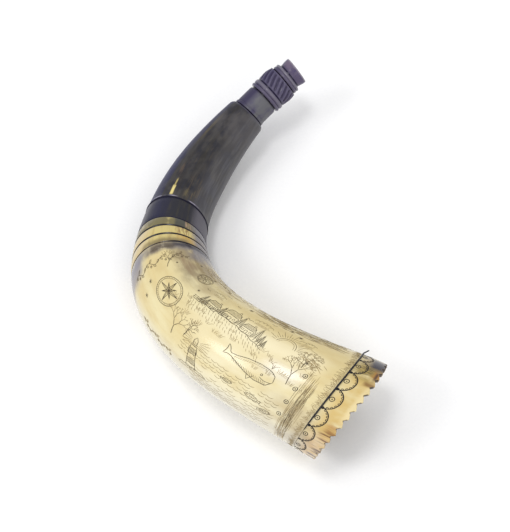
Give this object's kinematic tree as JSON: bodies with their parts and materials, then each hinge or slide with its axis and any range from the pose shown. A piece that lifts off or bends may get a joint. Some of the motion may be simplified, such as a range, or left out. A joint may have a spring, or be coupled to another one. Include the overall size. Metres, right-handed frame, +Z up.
{
  "type": "scrimshaw powder horn",
  "caption": "Curved cow horn lying on its side, hollow, with an open pinked mouth, engraved pale body, ringed bands, black neck and a carved, bored spout.",
  "frame": {"origin": "centre of the bounding box, at its bottom, on the surface that the horn lies on", "axes": "+Z up, +Y from the mouth's end towards the spout's end across the horn's longest extent, +X towards the side that the mouth and the spout face"},
  "size_m": [0.1692, 0.3046, 0.0765],
  "materials": {
    "horn": "polished cow horn, cream-yellow body with fine black engraving, dark grey to black neck and spout",
    "strip": "thin stiff black strip, dull"
  },
  "bodies": {
    "root": {"horn": "horn", "border_strip": "strip"}
  },
  "joints": []
}
